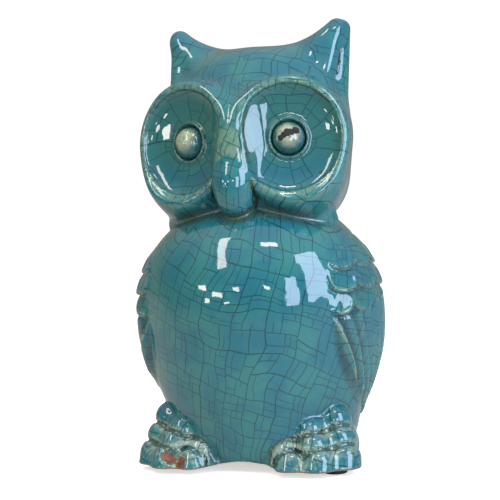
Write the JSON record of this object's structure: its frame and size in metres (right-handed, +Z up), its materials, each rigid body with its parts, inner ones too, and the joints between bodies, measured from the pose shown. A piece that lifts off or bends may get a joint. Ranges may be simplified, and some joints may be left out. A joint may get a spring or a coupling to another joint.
{
  "type": "owl coin bank",
  "caption": "Upright owl figure in crackle glaze, hollow, with a coin slot behind the head and a rubber stopper in the base.",
  "frame": {"origin": "middle of the floor plane under the owl, at the underside of the pads", "axes": "+Z up, -Y the way the owl faces, +X the owl's own left"},
  "size_m": [0.1296, 0.1078, 0.2286],
  "materials": {
    "glaze": "glossy turquoise crackle glaze over red earthenware",
    "stopper_rubber": "matte soft black rubber",
    "pad_rubber": "satin black rubber"
  },
  "bodies": {
    "bank": {"ceramic_shell": "glaze", "left_eye_bead": "glaze", "right_eye_bead": "glaze", "front_left_pad": "pad_rubber", "front_right_pad": "pad_rubber", "rear_left_pad": "pad_rubber", "rear_right_pad": "pad_rubber"},
    "stopper": {"stopper": "stopper_rubber"}
  },
  "joints": [
    {"name": "stopper_pull", "type": "slide", "parent": "bank", "child": "stopper", "axis": [0, 0, -1], "range_m": [0, 0.03]}
  ]
}
